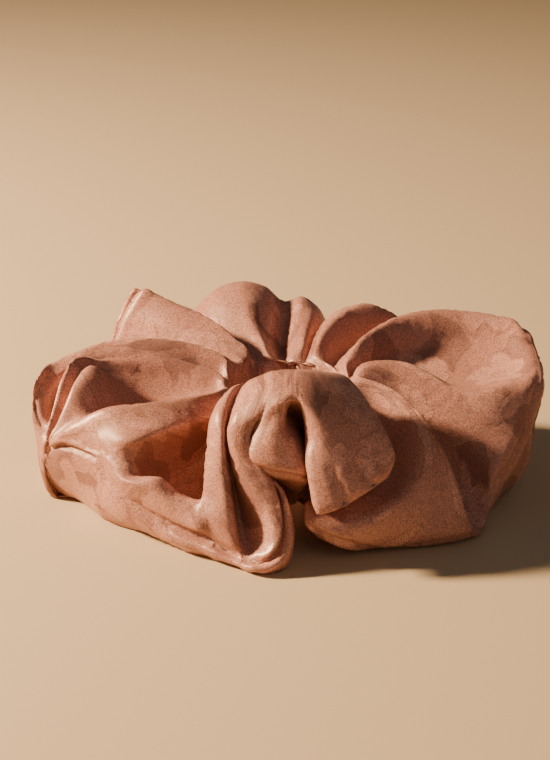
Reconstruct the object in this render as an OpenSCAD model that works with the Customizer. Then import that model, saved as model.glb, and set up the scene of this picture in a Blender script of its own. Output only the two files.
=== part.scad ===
// Scrunchie: a gathered satin tube round a loop of flat elastic, lying flat on its side.
// The origin is at the middle of the hole, on the surface that the scrunchie lies on, with +Z up.
// The tube and the elastic are cut in two halves at the YZ plane, and the halves part along X
// when the loop is pulled open.

/* [Loop] */
// Radius of the hole in the middle of the gathered loop
hole_r = 13; // [11:0.5:13]
// Height of the gathered neck that lines the hole
neck_h = 14; // [10:1:16]

/* [Cover] */
// Radius from the middle of the hole to the middle of the puffed tube
ring_r = 34; // [33:0.5:36]
// Radius of one puffed lobe of the tube
lobe_r = 20.5; // [20:0.1:21]
// Height of the middle of the tube above the surface it lies on
ring_z = 18; // [17:0.5:19]
// Number of puffed lobes between gathers
lobe_count = 10; // [10:2:12]
// Thickness of the gathered satin wall
wall = 0.8; // [0.6:0.1:1.2]

/* [Elastic] */
// Width of the flat elastic
elastic_w = 6; // [5:0.5:8]
// Thickness of the flat elastic
elastic_t = 1; // [0.8:0.1:1.4]
// Radius of the relaxed elastic loop, at the middle of its thickness
elastic_r = 18; // [17.5:0.5:20]
// Length over which the ends of the elastic lap
lap_length = 10; // [8:1:14]

/* [Seams] */
// Radius of the inner edge of the seam allowance inside the tube
allowance_r = 44; // [43:0.5:45]
// Radius of the line of stitches along the tube
stitch_r = 46.5; // [46:0.5:47]
// Distance from one stitch to the next
stitch_pitch = 3; // [2:0.5:4]
// Length of one stitch
stitch_length = 2.2; // [1.5:0.1:2.5]
// Thickness of the sewing thread
thread = 0.4; // [0.3:0.1:0.6]

/* [Hidden] */
$fn = 64;

satin = [0.80, 0.56, 0.50];
elastic_white = [0.93, 0.91, 0.87];
thread_rose = [0.74, 0.48, 0.43];
thread_white = [0.96, 0.95, 0.92];

part_gap = 0.4;                          // between the two halves at rest
half_size = 80;                          // larger than the scrunchie's radius
cut_past = 1;                            // how far a cutting shape runs past a face
lobe_step = 360 / lobe_count;
valley_angle = lobe_step / 2;            // from the middle of a lobe to the next gather
valley_ring_r = ring_r * cos(valley_angle);
valley_r = sqrt(pow(lobe_r, 2) - pow(ring_r * sin(valley_angle), 2));
closing_angle = 3.5 * lobe_step;         // a gather at the back left, where the tube closes
neck_depth = 5;                          // how far the neck reaches outwards from the hole
lap_angle = lap_length / elastic_r * 180 / PI;
long_stitches = floor(PI * stitch_r / stitch_pitch);
closing_pitch = 4;                       // from one closing stitch to the next
closing_length = 3;                      // of one closing stitch, across the gather
closing_arc = 300;                       // the closing seam goes round the tube, but for the neck
closing_stitches = floor(closing_arc / 360 * 2 * PI * valley_r / closing_pitch);
join_stitches = 6;                       // in the zigzag that joins the elastic
join_zig = 3.6;                          // from side to side of the zigzag
join_run = 7;                            // length of the zigzag, along the elastic
join_reach = 0.35;                       // how far the zigzag's thread stands off the elastic

// A square ring round the Z axis, from radius r0 to r1 and from height z0 to z1.
module band(r0, r1, z0, z1, from = 0, sweep = 360) {
    rotate([0, 0, from])
        rotate_extrude(angle = sweep)
            translate([r0, z0])
                square([r1 - r0, z1 - z0]);
}

// Everything on one side of the YZ plane: side is -1 for the left half and 1 for the right.
module half(side) {
    intersection() {
        children();
        translate([side * (half_size + part_gap) / 2, 0, half_size / 2 - cut_past])
            cube([half_size, 2 * half_size, half_size], center = true);
    }
}

// The ring of puffed lobes, shrunk by inset, with no floor.
module lobes(inset) {
    for (i = [0 : lobe_count - 1])
        rotate([0, 0, i * lobe_step])
            translate([ring_r, 0, ring_z])
                sphere(r = lobe_r - inset);
}

// The outside of the tube: lobes and neck, flattened where the scrunchie lies on a surface.
module tube_outside() {
    difference() {
        union() {
            lobes(0);
            band(hole_r, hole_r + neck_depth, ring_z - neck_h / 2, ring_z + neck_h / 2);
        }
        translate([0, 0, -half_size / 2])
            cube([2 * half_size, 2 * half_size, half_size], center = true);
        translate([0, 0, -cut_past])
            cylinder(r = hole_r, h = half_size);
    }
}

// The air inside the tube, which also takes the elastic.
module tube_inside() {
    difference() {
        union() {
            lobes(wall);
            band(
                hole_r + wall, hole_r + neck_depth,
                ring_z - neck_h / 2 + wall, ring_z + neck_h / 2 - wall
            );
        }
        translate([0, 0, wall - half_size / 2])
            cube([2 * half_size, 2 * half_size, half_size], center = true);
        seam_allowance();
    }
}

// The two raw edges of the strip, sewn together and lying inside the tube at its outer side.
module seam_allowance() {
    band(allowance_r, ring_r + lobe_r, ring_z - wall, ring_z + wall);
}

module cover(side) {
    color(satin)
        half(side)
            difference() {
                tube_outside();
                tube_inside();
            }
}

module elastic_left() {
    color(elastic_white) {
        half(-1)
            band(
                elastic_r - elastic_t / 2, elastic_r + elastic_t / 2,
                ring_z - elastic_w / 2, ring_z + elastic_w / 2
            );
        // the end that laps over the outside of the loop
        band(
            elastic_r + elastic_t / 2, elastic_r + elastic_t * 1.5,
            ring_z - elastic_w / 2, ring_z + elastic_w / 2,
            closing_angle - lap_angle / 2, lap_angle
        );
    }
}

module elastic_right() {
    color(elastic_white)
        half(1)
            band(
                elastic_r - elastic_t / 2, elastic_r + elastic_t / 2,
                ring_z - elastic_w / 2, ring_z + elastic_w / 2
            );
}

// One lockstitch through the seam allowance: a bar above, a bar below and the thread between.
module lockstitch() {
    fin = 2 * wall;
    translate([0, -stitch_length / 4, fin / 2 + thread / 2])
        cube([thread, stitch_length / 2 + thread, thread], center = true);
    cube([thread, thread, fin + 2 * thread], center = true);
    translate([0, stitch_length / 4, -fin / 2 - thread / 2])
        cube([thread, stitch_length / 2 + thread, thread], center = true);
}

// The row of lockstitches along one half of the tube; from is the angle of its first end.
module long_seam_stitches(from) {
    color(thread_rose)
        for (i = [0 : long_stitches - 1])
            rotate([0, 0, from + (i + 0.5) * 180 / long_stitches])
                translate([stitch_r, 0, ring_z])
                    lockstitch();
}

// Short stitches across the gather where the tube's ends meet.
module closing_seam_stitches() {
    color(thread_rose)
        rotate([0, 0, closing_angle])
            translate([valley_ring_r, 0, ring_z])
                for (i = [0 : closing_stitches])
                    rotate([0, closing_arc / 2 - i * closing_arc / closing_stitches, 0])
                        translate([valley_r + thread / 4, 0, 0])
                            rotate([90, 0, 0])
                                cylinder(d = thread, h = closing_length, center = true, $fn = 24);
}

// A zigzag of thread that holds the lapped ends of the elastic.
module elastic_join_stitches() {
    step = join_run / join_stitches;
    slant = atan(step / join_zig);
    color(thread_white)
        rotate([0, 0, closing_angle])
            for (i = [0 : join_stitches - 1])
                rotate([0, 0, (i - (join_stitches - 1) / 2) * step / elastic_r * 180 / PI])
                    translate([elastic_r + elastic_t / 2, 0, ring_z])
                        rotate([(i % 2 == 0 ? 1 : -1) * slant, 0, 0])
                            cube([2 * elastic_t + 2 * join_reach, thread, join_zig], center = true);
}

cover(-1);  // cover_left
cover(1);  // cover_right
elastic_left();
elastic_right();
long_seam_stitches(90);  // long_seam_stitches_left
long_seam_stitches(-90);  // long_seam_stitches_right
closing_seam_stitches();
elastic_join_stitches();
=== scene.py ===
import math

import bpy
import numpy as np
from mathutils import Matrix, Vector


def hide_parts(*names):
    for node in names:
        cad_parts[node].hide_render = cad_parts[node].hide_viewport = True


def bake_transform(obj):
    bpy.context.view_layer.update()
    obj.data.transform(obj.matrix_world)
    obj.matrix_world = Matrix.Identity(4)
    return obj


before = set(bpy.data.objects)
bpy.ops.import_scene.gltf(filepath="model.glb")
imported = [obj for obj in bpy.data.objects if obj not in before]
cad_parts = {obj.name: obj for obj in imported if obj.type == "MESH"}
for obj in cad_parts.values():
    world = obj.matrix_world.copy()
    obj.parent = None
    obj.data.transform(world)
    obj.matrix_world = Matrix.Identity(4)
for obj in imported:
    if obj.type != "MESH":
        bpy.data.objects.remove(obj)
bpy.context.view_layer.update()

MM = 0.001

# ---------------------------------------------------------------- shape of the cover, in millimetres

NECK_R = 14.5            # radius of the gathered neck's rims
NECK_TOP = 27.0          # heights of the neck's upper and lower rims
NECK_LOW = 9.0
WAIST_R = 13.2           # radius of the hole, half way up the neck
WAIST_Z = 18.0

TUBE_WIDTH = 95.0        # declared cut of the satin, round the tube and along it; the folds below take
TUBE_LENGTH = 460.0      # up more, about 114 by 527
SATIN_THICK = 0.3

# Each fold starts at the neck, at the angle given, goes over the top of the tube to the seam at its
# outer edge, and comes back underneath. Folds follow each other counter-clockwise, seen from above.
# (angle at the neck, points over the top as far as the seam, points after the seam). A fourth number
# is the row of the mesh that the point lies on.

FOLDS = [
    # left lobe: the ridge along its front, and the rounded band below it
    (198, [(-16.5, -8.5, 27.8), (-24.3, -12, 27.9), (-31.5, -14.7, 27.9), (-40, -15.3, 27),
         (-45.9, -14, 23.8), (-51.5, -11.8, 19.2), (-54, -10, 15.9)],
     [(-55, -7.5, 11), (-54.5, -4, 4.5), (-52.5, -2, 0.7)]),
    (203, [(-15.8, -9.3, 26.3), (-20, -12.3, 26.5), (-26.3, -17, 26), (-34.3, -19.5, 25),
         (-41.4, -18, 23), (-46.5, -15.7, 19.8), (-50.3, -13.3, 17.2)],
     [(-51.3, -12, 12.5), (-51, -8.5, 6), (-49, -5, 0.7)]),
    (206, [(-15, -9.5, 24), (-17.5, -13, 24), (-24, -18.5, 24), (-28.6, -21.5, 23.6),
         (-33.5, -23.2, 21.8), (-38.5, -22.3, 20), (-43, -19, 18.5), (-46.8, -15.9, 17.3)],
     [(-48, -14.7, 12.5), (-47.7, -11.5, 6), (-45.8, -8.5, 0.7)]),
    # hollow in the left lobe, and the lip round its lower side
    (208, [(-14.5, -8.5, 21), (-17, -9.5, 20.5), (-23, -15, 20.3), (-28.5, -19.5, 20), (-33, -22.7, 19.6),
         (-36, -24.2, 18.5), (-40.5, -21.8, 18.3), (-44.3, -17.8, 17)],
     [(-45.6, -16.8, 12.5), (-45.3, -14.3, 6), (-43.5, -12.5, 0.7)]),
    (210, [(-14.3, -8, 18.5), (-17, -7.7, 17.3), (-22, -11, 16), (-27, -15.5, 15), (-31, -20, 15),
         (-34.5, -25.3, 17.3), (-36.7, -25.7, 16.7), (-39.5, -23, 16.7), (-42, -19.7, 16.5)],
     [(-43.6, -18.7, 12), (-43.3, -17, 6), (-41.8, -15.8, 0.7)]),
    (212, [(-14.2, -7.5, 17.5), (-17, -7.2, 14.5), (-21, -9.5, 11.5), (-25.5, -14.5, 10),
         (-30, -20.7, 11), (-33.3, -26.7, 15.6), (-35.4, -27.5, 15.4), (-38, -25.2, 14.6),
         (-39.8, -22.2, 13.6)], [(-41.2, -20.8, 9.5), (-40.8, -19, 4), (-38.5, -18.5, 0.6)]),
    (214, [(-14, -7.6, 17), (-16, -8, 12.8), (-19, -11, 9.5), (-23.3, -15.8, 8.3), (-27.8, -22.3, 9.8),
         (-31.5, -28, 15.8), (-33, -29, 15.2), (-35, -27.8, 12.8), (-36.9, -25.2, 11)],
     [(-38.2, -24, 7), (-36.8, -21.7, 2.5), (-34, -21.5, 0.6)]),
    (216, [(-13.6, -8.2, 17), (-14.8, -9.3, 12.5), (-17, -12.7, 8.7), (-21, -18, 7.4),
         (-24.9, -24.3, 9.4), (-28.2, -29, 16), (-29.4, -30.2, 15.2), (-31, -29.9, 12.2),
         (-32.7, -27.8, 9)], [(-33.3, -27.5, 5.5), (-31.7, -25.5, 1.8), (-29, -24.5, 0.6)]),
    (218, [(-13.2, -8.7, 18), (-13.3, -10.7, 13.3), (-14.7, -14, 9.5), (-18.3, -19.5, 7.8),
         (-21.9, -25.3, 8.7), (-24.5, -30.4, 13.4), (-25.8, -32.2, 12.4), (-27.2, -32, 9.7),
         (-28.2, -30.2, 7.3)], [(-28.8, -30.3, 4.3), (-27.3, -28.8, 1.3), (-24.5, -26.5, 0.5)]),
    (221, [(-12.6, -9.4, 21), (-11.8, -12, 17.5), (-11.8, -15.7, 13.5), (-14.2, -21, 10.8),
         (-17.9, -27, 9.8), (-20.7, -32.1, 12), (-21.7, -34.2, 10.5), (-22.4, -34.6, 8),
         (-22.5, -33.2, 5.8)], [(-23.2, -34.3, 3.2), (-22, -33, 0.8)]),
    (223, [(-11.2, -11, 26), (-11, -14, 22.5), (-11.3, -18, 18.8), (-13, -22.5, 15.3), (-15.9, -27.5, 13),
         (-18.1, -32.1, 13.8), (-18.7, -35, 10.8), (-18.5, -36.6, 7.5), (-18.3, -35.3, 5.1)],
     [(-18.5, -36.8, 2.8), (-17.6, -35.5, 0.7)]),
    # standing ridge to the right of the hollow
    (225, [(-10.3, -12, 29.5), (-12.6, -16, 31), (-15, -20.5, 30.5), (-16.4, -25, 28.3, 21),
         (-17, -27.5, 24), (-17.7, -30, 19), (-17.9, -33, 14), (-17.3, -36.3, 9.5), (-16, -37.3, 4.6)],
     [(-16, -38.6, 2.5), (-15.3, -37.3, 0.6)]),
    (227, [(-9.6, -13, 31.5), (-11.8, -17, 32.7), (-13.8, -21.5, 32), (-15, -26.5, 29.5, 21),
         (-15.3, -29.5, 24.9), (-15.2, -32.2, 20), (-15.1, -35.2, 14), (-14.4, -38.2, 9),
         (-13.2, -38.9, 3.5)], [(-13, -40.3, 1.9), (-12.3, -39, 0.5)]),
    (229, [(-9.2, -13.5, 31.8), (-11, -17.5, 33), (-12.7, -22.5, 32.3), (-13.6, -27.5, 28.8, 21),
         (-13.9, -30.5, 24.5), (-13.6, -33, 19.7), (-13, -35.8, 15), (-12.1, -38.5, 9.5),
         (-11.2, -40, 5.5), (-10.8, -40.4, 3.1)], [(-10.5, -42, 1.7), (-10, -40.7, 0.4)]),
    # pocket inside the loop beside the rolled edge
    (231, [(-8.9, -13.7, 31.4), (-10.6, -18, 32.3), (-12, -22.5, 31), (-12.8, -26, 27.5, 21),
         (-12.7, -27.5, 22.5), (-12, -28.5, 17), (-11, -29.5, 11), (-10, -33, 5.5), (-9.3, -38.5, 3.6),
         (-9.3, -41.6, 2.7)], [(-9, -43.2, 1.6), (-8.7, -42, 0.3)]),
    # rolled edge round the loop: its inner side, its ridge, and its outer side that ends at the seam
    (233, [(-8.6, -14, 31.3), (-9.9, -19.5, 33.3), (-11.2, -25.5, 31.3), (-12.7, -29.3, 27.5, 21),
         (-12.7, -30.2, 24.5), (-11.7, -31.7, 20.3), (-9.8, -33.8, 15.5), (-6.8, -36.3, 11.5),
         (-5.1, -38.3, 8.3), (-4.9, -39.8, 5.8), (-5.9, -41.2, 4), (-7.6, -42.4, 2.9)],
     [(-7.2, -44.2, 1.9), (-6.9, -43, 0.4)]),
    (235.5, [(-8, -14.5, 31.6), (-9.2, -20, 34.3), (-9.8, -26.3, 33), (-11.4, -30, 29.5, 21),
         (-11.6, -31.6, 26), (-9.9, -33.6, 21), (-7.1, -36.2, 16.5), (-4.5, -38.7, 12.3),
         (-3.2, -40.6, 9), (-3.3, -41.9, 6.3), (-4.4, -43, 4), (-5.5, -43.1, 3)],
     [(-4.7, -44.6, 2.1), (-4.4, -43.2, 0.4)]),
    (238, [(-7.2, -14.7, 32.1), (-8.2, -20.5, 35.3), (-8.3, -26.5, 33.9), (-10, -30.3, 29.9, 21),
         (-10.4, -31.9, 26.3), (-8.5, -33.8, 21.3), (-5.6, -36.3, 17), (-3.2, -38.9, 12.6),
         (-2, -40.7, 9.3), (-2, -41.8, 6.8), (-2.8, -42.2, 4.9)], [(-1, -43.3, 3.8), (-0.6, -41.8, 1)]),
    (241, [(-6.4, -15, 32.5), (-7, -21, 36), (-7, -27, 34.5), (-8.8, -30.4, 30.4, 21),
         (-9.5, -31.8, 26.8), (-7.7, -33.4, 22), (-4.7, -35.9, 17.5), (-2.4, -38.5, 13), (-1.4, -40, 9.8),
         (-1.5, -40.4, 7.9)], [(0.4, -41.3, 6.8), (0.9, -39.8, 3.5), (0.5, -37.5, 0.8)]),
    (244, [(-5.7, -15, 32.8), (-6, -21, 36.5), (-6, -27.3, 34.9), (-7.7, -30.4, 31, 21),
         (-8.8, -31.6, 27.3), (-7, -33.1, 22.7), (-4.1, -35.2, 18.2), (-2.1, -37.2, 14.3),
         (-1.6, -37.9, 12.3)], [(0.2, -38.6, 11), (1.2, -37, 8), (1, -34, 2.5)]),
    (247, [(-5.1, -15, 33), (-5, -21, 36.9), (-5, -27.5, 35.1), (-6.7, -30.4, 31.4, 21),
         (-8.1, -31.3, 27.7), (-6.9, -32.2, 23.4), (-4.4, -33.9, 19), (-2.9, -35, 16.2)],
     [(-1.2, -36, 15.4), (0, -35.2, 13), (0.7, -32, 6), (0, -29, 2)]),
    (250, [(-4.5, -15, 33.2), (-4.1, -21, 37.3), (-4.1, -27.8, 35.4), (-5.7, -30.3, 31.8, 21),
         (-7.4, -31, 28), (-7.9, -31.3, 24), (-6.1, -32.6, 20.3), (-5.1, -33.3, 18.2)],
     [(-3.5, -33.8, 17.5), (-1.8, -33, 16), (-0.3, -29, 10), (-1, -25, 4)]),
    # front edge of the hood, on the left of the small cone
    (252.5, [(-3.9, -15, 33.4), (-3.2, -21, 37.6), (-3.2, -27.4, 36.1), (-4.9, -30.1, 32.5, 21),
         (-6.8, -29.8, 28.8), (-8.1, -29.4, 25.3), (-8.4, -29.6, 22.5)],
     [(-7.8, -29.5, 20.5), (-6, -28, 18.5), (-3, -24, 13), (-2, -22, 6)]),
    (254.5, [(-3.3, -15.2, 33.5), (-2.5, -21, 37.7), (-2.5, -27.4, 36.3), (-3.7, -30.6, 32.9, 21),
         (-6, -31.5, 28.8), (-8.2, -31.9, 24.8), (-8.8, -32.1, 22)],
     [(-7.8, -31, 20.2), (-5.5, -27.5, 18), (-3, -23, 13), (-2, -21, 6)]),
    # small cone beside the dark hole
    (256.5, [(-2.6, -15.3, 33.6), (-1.7, -21, 37.8), (-1.7, -27.5, 36.5), (-2.6, -30.6, 33.6, 21),
         (-3.7, -31.3, 31), (-5.3, -32.4, 27.7), (-7, -33.2, 24.4), (-7.8, -33.6, 21.2)],
     [(-6.5, -31, 19.3), (-3, -24, 14), (-2, -20, 7)]),
    (258.5, [(-2, -15.4, 33.7), (-0.9, -21, 37.9), (-0.9, -27.5, 36.6), (-1.5, -30.6, 34.1, 21),
         (-2.2, -31.3, 31.7), (-3.2, -33.1, 28.2), (-4.4, -34.4, 23.9), (-4.4, -34.9, 20)],
     [(-3.3, -32, 17.8), (-1, -25, 12), (-0.5, -20, 6)]),
    (260.5, [(-1.3, -15.5, 33.8), (-0.1, -21.3, 38), (-0.1, -27.6, 36.7), (-0.5, -30.5, 34.4, 21),
         (-0.9, -30.9, 32.3), (-1.6, -32.9, 28.4), (-1.5, -34.6, 23.8), (-0.3, -35.2, 19.2)],
     [(0.2, -32.5, 17), (1, -26, 11), (0.5, -20, 6)]),
    (262.3, [(-0.7, -15.5, 33.8), (0.5, -21.3, 38), (0.5, -27.6, 36.7), (0.3, -30.4, 34.6, 21),
         (0, -29.6, 33), (-0.5, -30.3, 29.3), (1.1, -32.5, 25.3), (2.6, -33.8, 22.3), (3.4, -34.9, 18.6)],
     [(3.2, -32.5, 16.5), (2, -26, 11), (1, -20, 6)]),
    # the dark hole
    (264, [(-0.1, -15.5, 33.8), (1.1, -21.3, 38), (1.1, -27.6, 36.7), (1, -30.4, 34.7, 21),
         (0.8, -28.8, 33.4), (0.3, -25, 31), (1.8, -20.5, 27), (3.5, -20.5, 22), (4, -22, 17)],
     [(3.8, -21.5, 13), (3, -19, 7)]),
    (266, [(0.5, -15.5, 33.8), (1.8, -21.3, 38), (1.8, -27.6, 36.7), (1.9, -30.4, 34.7, 21),
         (2.1, -29, 33.4), (2.7, -26, 31), (3.6, -22, 27), (4.5, -23.5, 22), (5, -26.5, 16)],
     [(5, -25.5, 12), (4, -20.5, 7)]),
    # the big front flap
    (267.3, [(0.8, -15.5, 33.8), (2.2, -21.3, 38), (2.3, -27.6, 36.6), (2.7, -30.5, 34.5, 21),
         (3.3, -30.8, 31.8), (3.9, -31.5, 27.5), (3.8, -33.8, 22.8), (4.6, -36.6, 18), (5.8, -38.6, 13.4)],
     [(5.8, -37.5, 13), (5.6, -30, 11), (4.3, -21, 6)]),
    (268, [(1, -15.5, 33.8), (2.5, -21.3, 38), (2.6, -27.6, 36.6), (3.1, -30.6, 34.5, 21), (4.1, -32, 31),
         (4.7, -33.6, 27.5), (4, -36.3, 23), (4.9, -39.2, 17.7), (6.2, -41.4, 12.9)],
     [(6.4, -38.8, 13.8), (6.3, -31, 11.5), (4.5, -22, 6)]),
    (272, [(2, -15.4, 33.8), (4.3, -21.2, 37.9), (4.6, -27.6, 36.3), (5.4, -31.2, 33.5, 21),
         (6.4, -34.2, 28.8), (6.9, -37.6, 22.5), (7.6, -40.5, 16.7), (8.2, -41.8, 13.5)],
     [(8.5, -38.8, 14.2), (8.5, -31, 11.5), (6, -22, 5)]),
    (277, [(3.5, -15.2, 33.7), (6.5, -20.9, 37.5), (7.6, -26.8, 35.5), (8.8, -30.2, 32.6, 21),
         (10.5, -34.2, 27.6), (11.8, -37.7, 21.5), (12.8, -39.9, 16.7), (13.2, -40.3, 15.2)],
     [(12.9, -37.4, 15.8), (12, -30, 12.5), (8, -21, 5)]),
    (283, [(5.2, -14.9, 33.5), (8.6, -20, 36.9), (10.8, -25, 34.9), (13, -28.7, 31.8, 21),
         (15.2, -32.2, 27), (17, -35.5, 21.5), (18, -37.1, 18.4), (18.4, -37.3, 17.6)],
     [(17.7, -34.4, 18), (15, -27, 13.5), (10, -20, 5)]),
    (290, [(7, -14.2, 33), (10.7, -18.5, 36.2), (13.7, -22.5, 34.2), (16.5, -26.2, 31, 21),
         (19.2, -29.9, 26.7), (21, -33.1, 22), (21.8, -34.3, 18.9)],
     [(20.8, -31.4, 18.6), (17, -25, 12.5), (11, -19, 5)]),
    (296, [(8.4, -13.4, 32.3), (12, -17.3, 35.5), (15.1, -20.8, 33.8), (18, -25, 30.7, 21),
         (20.8, -28.5, 26.8), (22.4, -31.3, 23.3), (23, -32.4, 21.2)],
     [(22, -29.9, 20.3), (18, -25, 13.5), (12, -19, 5)]),
    (300, [(9.2, -12.7, 31.3), (12.8, -16, 34.2), (15.8, -19.5, 32.5), (18.6, -23.8, 29.3, 21),
         (21.1, -27.1, 25.5), (22.5, -29.6, 22.3), (22.5, -30.3, 20)],
     [(20.5, -28, 17), (17, -23.5, 11), (12, -18.5, 5)]),
    # dark valley behind the flap
    (303.5, [(9.8, -12, 30.3), (13, -14.3, 31.5), (15.3, -16.8, 29), (17.2, -19.3, 25),
         (18.3, -21.8, 21.5), (18, -22.8, 18), (17, -22.3, 15.5)], [(15, -20.5, 10), (12.5, -17.5, 5)]),
    (307, [(10.7, -11.3, 29), (13.5, -11.8, 29), (15.4, -13, 25.3), (16.2, -14.8, 20.5), (16, -17.8, 16),
         (14.8, -20.5, 12.5), (13, -22, 9.8)], [(13, -21, 7), (12, -18, 4)]),
    (312, [(11.8, -10.5, 29), (14.7, -10.7, 28.3), (17.3, -12, 24.3), (18.5, -15, 18.8),
         (16.7, -20.5, 14.3), (12.3, -24.7, 12), (8, -27, 9.5)], [(10, -26.5, 6), (12, -22, 2.5)]),
    # front roll of the right lobe
    (317, [(13, -9.5, 29.4), (17.3, -9.8, 28.7), (20.7, -12.3, 25.3), (22, -15.8, 19.7),
         (20, -22.5, 14.2), (14.3, -28.5, 12.3), (7.8, -32.3, 12), (3.2, -34.7, 12)],
     [(3.5, -34.7, 9.5), (7, -31, 5), (11, -26, 2)]),
    (321, [(13.3, -9, 29.6), (18.2, -9.6, 29.5), (22.5, -13, 26.5), (24.3, -17.3, 20.7),
         (23.2, -24.3, 14.4), (18.8, -31, 11.6), (12.3, -35.7, 10.6), (6.5, -37.9, 10.3),
         (3.5, -37.5, 9.7)], [(5, -36.5, 7), (9, -32, 3.5), (12, -27, 1.5)]),
    (325, [(13.8, -8.5, 29.9), (19.2, -9.8, 29.9), (24.4, -14.2, 27.1), (26.6, -19.3, 21.6),
         (26.1, -26.7, 15.7), (22.7, -33.3, 12.4), (17.3, -37.2, 9.7), (11.5, -38.9, 8.3), (7.5, -39, 7.3)],
     [(9, -37, 4.5), (12, -32, 2)]),
    (329, [(14.2, -8, 30.1), (20.2, -10, 29.9), (26, -15.2, 27), (29.3, -21.3, 22.3), (29, -27.8, 16.3),
         (25.5, -33, 10.8), (21, -36.3, 7.3), (16.5, -38, 5.6), (13, -38, 4.8)],
     [(14, -36, 2.4), (15, -32, 0.8)]),
    # right lobe: the broad face and the ridge beside the deep valley
    (332, [(14.4, -7.6, 30.2), (20.8, -9.7, 30.1), (26.8, -15, 27.2), (30.5, -21, 22.5),
         (31.2, -27.2, 16), (29, -31.8, 10), (25.5, -34.3, 5.8), (22, -35, 3.2), (19, -34, 2)],
     [(19, -31, 0.6)]),
    (335.5, [(14.7, -7.1, 30.4), (21.1, -9.3, 30.4), (27.6, -14.6, 27.4), (31.7, -20.2, 22.8),
         (33.6, -25.7, 16.6), (33.8, -30, 10), (32.5, -32.2, 4.8), (30.5, -32, 1.6)], [(28.5, -29.5, 0.5)]),
    (339, [(14.8, -6.6, 30.6), (21.4, -8.8, 30.1), (26.9, -13.8, 27.7), (30.5, -18.8, 24.7),
         (33.4, -22.8, 20.5), (35.8, -26.4, 15.5), (38.1, -28.8, 9.3), (40, -28.8, 2.2)],
     [(37, -26.5, 0.5)]),
    (342, [(16, -4.6, 28.5), (21, -6.5, 26.5), (26, -10, 22.3), (29.8, -14.3, 17.5), (33.1, -18.7, 12.5),
         (36.4, -22.9, 7.7), (39.5, -26, 3.6), (41.5, -27, 1.6)], [(38.5, -24, 0.5)]),
    (345, [(16.5, -3.2, 27.5), (21, -3.7, 24), (25.7, -5.5, 18.5), (30, -8.3, 12.7), (34.4, -12.3, 8.2),
         (38.8, -17.2, 4.8), (42, -21.5, 2.6), (43.3, -24, 1.4)], [(39, -21.5, 0.5)]),
    (347.5, [(16.8, -2.2, 28.2), (22, -2.4, 26), (27.7, -4.7, 21.3), (33.3, -7.8, 16),
         (38.3, -11.5, 11.3), (42.5, -15.7, 7.4), (45, -19, 4.8)], [(45.6, -15.5, 2.5), (42, -14, 0.6)]),
    (350, [(17, -1.2, 29.6), (24, -1.8, 28), (30.5, -4.8, 24.7), (36.5, -8.3, 20.7), (42.5, -12, 16),
         (47.3, -16, 9.6)], [(48.6, -13, 6), (47.5, -10, 2), (43, -9, 0.6)]),
    (352.5, [(17, -0.5, 30.3), (24.3, -0.8, 29.2), (31.3, -4, 26.7), (37.7, -7.5, 23.3),
         (44.3, -10.7, 18.8), (50.7, -12.7, 13.5)], [(52, -9.5, 9.5), (51.5, -6.5, 4), (47, -5, 0.6)]),
    (355, [(16.8, 0.8, 30.5), (24.5, 0.6, 30.2), (32.5, -2.5, 28.3), (39.5, -6, 25.7), (46.5, -8.7, 22.5),
         (54, -8.5, 18.5)], [(55.5, -5, 14.5), (55.8, -2, 8), (51, -1, 0.8)]),
    (358, [(16.6, 2.2, 30.6), (22.5, 3, 31.7), (27.5, 2.2, 31.4), (32.5, -0.5, 29.8), (37.5, -3.7, 27.7),
         (43, -5.2, 27.3), (49, -4.7, 27.6), (56, -4.2, 24.7)],
     [(56.7, -1, 17), (56, 1.5, 8), (51, 3, 0.8)]),
    # dish of the right lobe, and its far rim
    (361, [(16.4, 3.6, 29.3), (22.3, 4.6, 29), (28, 4.3, 28.3), (34, 2.5, 27.2), (40, 0, 26.2),
         (46, -1, 26.7), (52, -0.5, 28), (57.4, -1, 28)], []),
    (365, [(16, 5.5, 27.5), (21.8, 6.8, 26.2), (29, 7.5, 26.2), (37, 6, 25.3), (45, 5, 25.7),
         (52, 4.7, 27.5), (58, 3.5, 29.7)], []),
    (369, [(15.6, 7, 26.7), (21.3, 9.5, 25.5), (29, 12, 26.5), (37.5, 13, 27), (45.5, 12.5, 27.5),
         (52, 11.5, 29.3), (57.8, 9.5, 31.7)], []),
    (372, [(15.2, 8.2, 27.3), (20.5, 12, 26.7), (27, 16, 28), (35, 18.5, 29.5), (43, 18.5, 31),
         (50.5, 17, 32.3), (57.1, 14.5, 33.2)], []),
    (374.5, [(14.8, 8.8, 28.7), (18.3, 12.3, 30.8), (23, 15.5, 32), (29.5, 18.7, 33), (37, 20.8, 34.2),
         (45, 20.8, 34.6), (51.5, 19, 34.5), (56.6, 16.5, 34.4)], []),
    (377, [(14, 10, 29.5), (16.9, 13.2, 32.6), (22, 17.3, 35.2), (28.3, 21.5, 36.4), (35, 23.8, 36.8),
         (43, 24.2, 36.6), (50, 23.2, 35.9), (55.5, 19.8, 34.8)], []),
    (381, [(13.3, 11.3, 29), (16.3, 15.5, 31.5), (21.8, 20.8, 34), (28.5, 25.7, 35.3), (36, 28.2, 35.2),
         (43.5, 28.3, 33), (51, 26.5, 28.5)], []),
    (386, [(12.3, 12.3, 28), (15, 17.5, 29), (20.5, 24, 30.5), (28, 29.7, 31), (36, 32.3, 29),
         (43.5, 32.5, 24)], []),
    # back right lobe, between two valleys
    (391, [(11, 13, 26.5), (13.5, 18.5, 26.3), (18, 24.5, 26), (25, 30, 25.5), (32, 34.5, 23),
         (38, 36.5, 18)], []),
    (396, [(9.5, 13.5, 27.5), (11.5, 18.5, 28.3), (15.5, 24, 28.8), (21.5, 30, 29.7), (28.5, 34.5, 29),
         (35, 38, 23)], []),
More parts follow.
